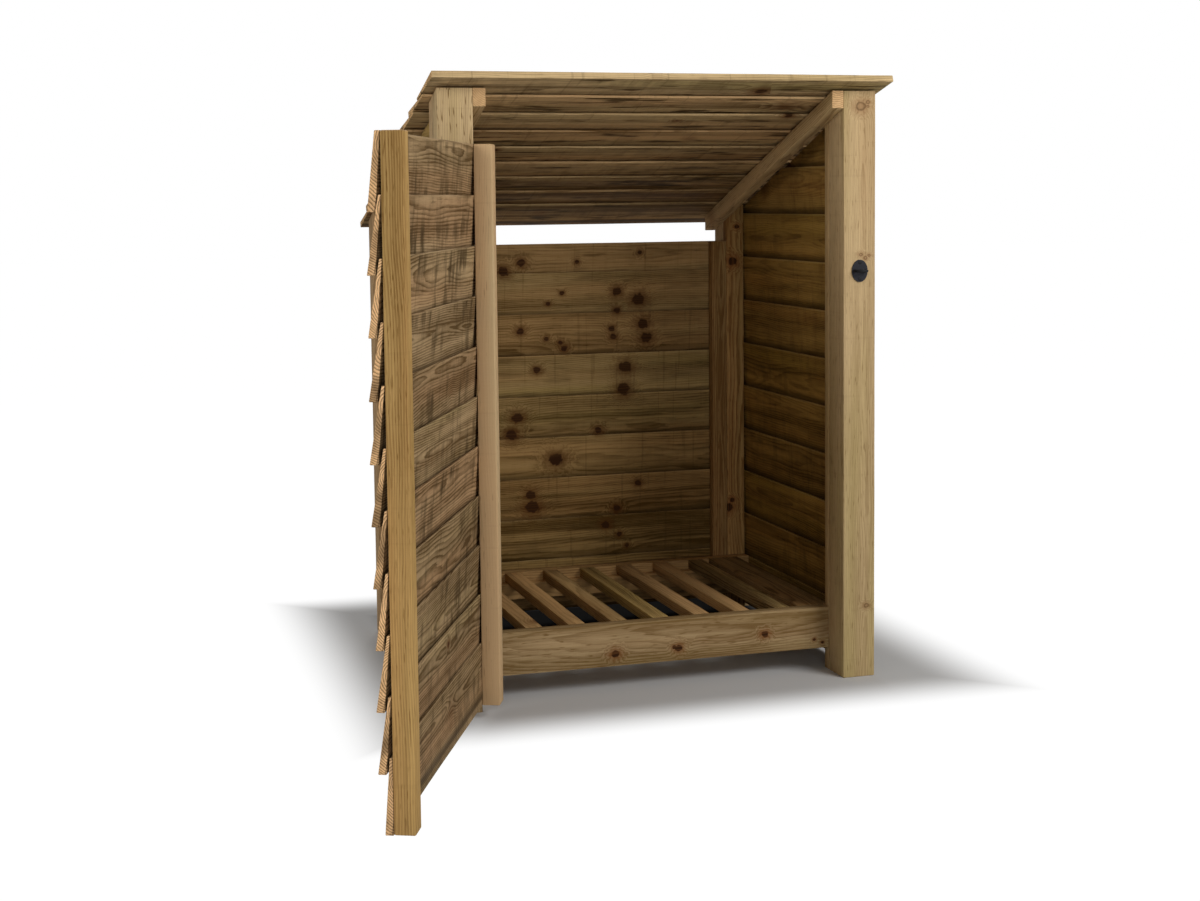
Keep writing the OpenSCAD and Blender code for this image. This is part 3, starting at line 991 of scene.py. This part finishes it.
plate_iron, loop_iron = black_iron("black_iron", PLATE_BLACK), black_iron("loop_iron", LOOP_BLACK)
zinc = nail_zinc("nail_steel")
for piece in nails:
    dress(piece, zinc)
dress(screws, loop_iron)
iron_nodes = [node for node in frame["nodes"] if slot_of[node] == "ironwork"]
for node in iron_nodes:
    dress(frame["nodes"][node], loop_iron if node == "staple_loop" else plate_iron)
print("ironwork:", ", ".join(iron_nodes))

# %% [markdown]
# The store stands on a plain pale floor that runs into a white background. A real white floor
# would need so much light that the wood would wash out. So what the camera sees of it glows
# white, except close to the store, where the floor keeps its shadow. Under the rear half of the
# store, and a little past its back and right side, the floor's colour is painted nearly black as
# painted shade for the little light that gets there through the slats.

# %% Studio floor
STUDIO_SIZE = 60.0
SHADE_PAST, SHADE_START = Vector((0.06, 0.16, 0.0)), 0.35
# The nearly black floor colour is painted shade under the rear of the store.
PALE_FLOOR, PAINTED_SHADE_FLOOR, WHITE = rgb(0.55, 0.55, 0.55), rgb(0.02, 0.02, 0.02), rgb(1, 1, 1)
GLOW, GLOW_SHARE = 1.06, 0.94
GLOW_EDGE, PAINTED_SHADE_EDGE = (0.03, 0.25), (-0.10, 0.02)
bpy.ops.object.select_all(action="DESELECT")
bpy.ops.mesh.primitive_plane_add(size=STUDIO_SIZE, location=(0, 0, 0))
studio = bpy.context.object
studio.name = "studio_floor"


def background_rays(start):
    """1 for what the camera sees, directly, in a reflection or through glass."""
    seen, mirrored, through = (start.add("ShaderNodeLightPath", None, "Is " + kind + " Ray")
                               for kind in ("Camera", "Glossy", "Transmission"))
    return (seen + mirrored + through).clamped()


def outside(place, low, high):
    """Distance outside a box on the floor, less than zero inside it."""
    gaps = []
    for k, along in enumerate(place.parts()[:2]):
        from_middle = along - (low[k] + high[k]) / 2
        gaps.append(from_middle.maths("ABSOLUTE", from_middle) - (high[k] - low[k]) / 2)
    return gaps[0].greater(gaps[1])


def show(tree, kind, surface):
    """Links a finished shader to the tree's output."""
    output = next(n for n in tree.nodes if n.type == kind)
    tree.links.new(surface.socket, output.inputs["Surface"])


pale, start, shader = paint("pale_floor")
place = start.add("ShaderNodeTexCoord", None, "Object")
foot_low, foot_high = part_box("left_front_post")[0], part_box("right_rear_post")[1] + SHADE_PAST
open_floor = outside(place, foot_low, foot_high).fade(*GLOW_EDGE)
# This mask is 0 where the floor's colour is painted nearly black as painted shade.
outside_painted_shade = outside(place, foot_low + Y * SHADE_START, foot_high).fade(*PAINTED_SHADE_EDGE)
feed(start, shader, Base_Color=outside_painted_shade.blend(PAINTED_SHADE_FLOOR, PALE_FLOOR), Roughness=1.0,
     Specular_IOR_Level=0.0)
glow = start.add("ShaderNodeEmission", None, 0, Color=WHITE, Strength=GLOW)
glowing = background_rays(start) * open_floor * GLOW_SHARE
show(start.tree, "OUTPUT_MATERIAL", start.add("ShaderNodeMixShader", None, 0, i0=glowing,
                                              i1=Field(start.tree, shader.outputs[0]), i2=glow))
dress(studio, pale)
print("studio floor:", STUDIO_SIZE, "m wide")

# %% [markdown]
# The light is a soft lamp near by on the right in front, a weak one beside the camera, a wide one on
# the left that the door keeps out of the store, one behind and a dim even world. One bright sky
# would be simpler, but it would fill the store with light. These lamps fall on the posts and the
# door's inner side, and the right wall stays dark.

# %% Light
LAMPS = {"key_lamp": ((1.9, -1.9, 1.95), 1.3, 46), "front_lamp": ((-0.5, -3.9, 1.0), 1.4, 28),
         "fill_lamp": ((-3.5, -1.9, 2.3), 2.0, 60), "back_lamp": ((0.3, 4.2, 3.6), 2.5, 80)}
DIM_SKY, DIM_STRENGTH = rgb(1.0, 0.96, 0.90), 0.15


def soft_lamp(name, place, aim, size, power):
    """A square lamp that the camera doesn't see."""
    data = bpy.data.lights.new(name, "AREA")
    data.shape, data.size, data.energy = "SQUARE", size, power
    lamp = bpy.data.objects.new(name, data)
    lamp.location = place
    lamp.visible_camera = False
    lamp.rotation_euler = (aim - Vector(place)).to_track_quat("-Z", "Y").to_euler()
    bpy.context.scene.collection.objects.link(lamp)


middle = (cad_box[0] + cad_box[1]) / 2
for name, (lamp_place, size, power) in LAMPS.items():
    soft_lamp(name, lamp_place, middle, size, power)
world = bpy.data.worlds.new("studio")
bpy.context.scene.world = world
world.use_nodes = True
sky = Field(world.node_tree, None)
white = sky.add("ShaderNodeBackground", None, 0, Color=WHITE, Strength=1.0)
dim = sky.add("ShaderNodeBackground", None, 0, Color=DIM_SKY, Strength=DIM_STRENGTH)
show(world.node_tree, "OUTPUT_WORLD",
     sky.add("ShaderNodeMixShader", None, 0, i0=background_rays(sky), i1=dim, i2=white))
bpy.context.scene.view_settings.view_transform = "Standard"
print("lamps:", ", ".join(LAMPS))

# %% [markdown]
# The camera stands to the left of the store at about the height of the door's middle, so that the
# open front, the door's inner side and the right wall all show. It could be aimed at the store's
# middle, but then the uprights would lean more. It looks nearly level, and its shift frames the
# store instead.

# %% Camera
CAMERA_PLACE = Vector((-0.7678, -3.5241, 1.0299))
CAMERA_YAW, CAMERA_PITCH, CAMERA_ROLL = 0.2951, 0.0832, -0.0107
CAMERA_LENS, CAMERA_SENSOR, CAMERA_SHIFT = 54.10, 36.0, -0.0838
camera_data = bpy.data.cameras.new("photo_camera")
camera_data.sensor_fit = "HORIZONTAL"
camera_data.sensor_width = CAMERA_SENSOR
camera_data.lens = CAMERA_LENS
camera_data.shift_y = CAMERA_SHIFT
camera = bpy.data.objects.new("photo_camera", camera_data)
level = Euler((math.pi / 2 - CAMERA_PITCH, 0, -CAMERA_YAW)).to_matrix()
turn = level @ Matrix.Rotation(CAMERA_ROLL, 3, "Z")
camera.matrix_world = Matrix.Translation(CAMERA_PLACE) @ turn.to_4x4()
bpy.context.scene.collection.objects.link(camera)
bpy.context.scene.camera = camera
print("camera with a lens of", CAMERA_LENS, "mm at", [round(c, 2) for c in CAMERA_PLACE])
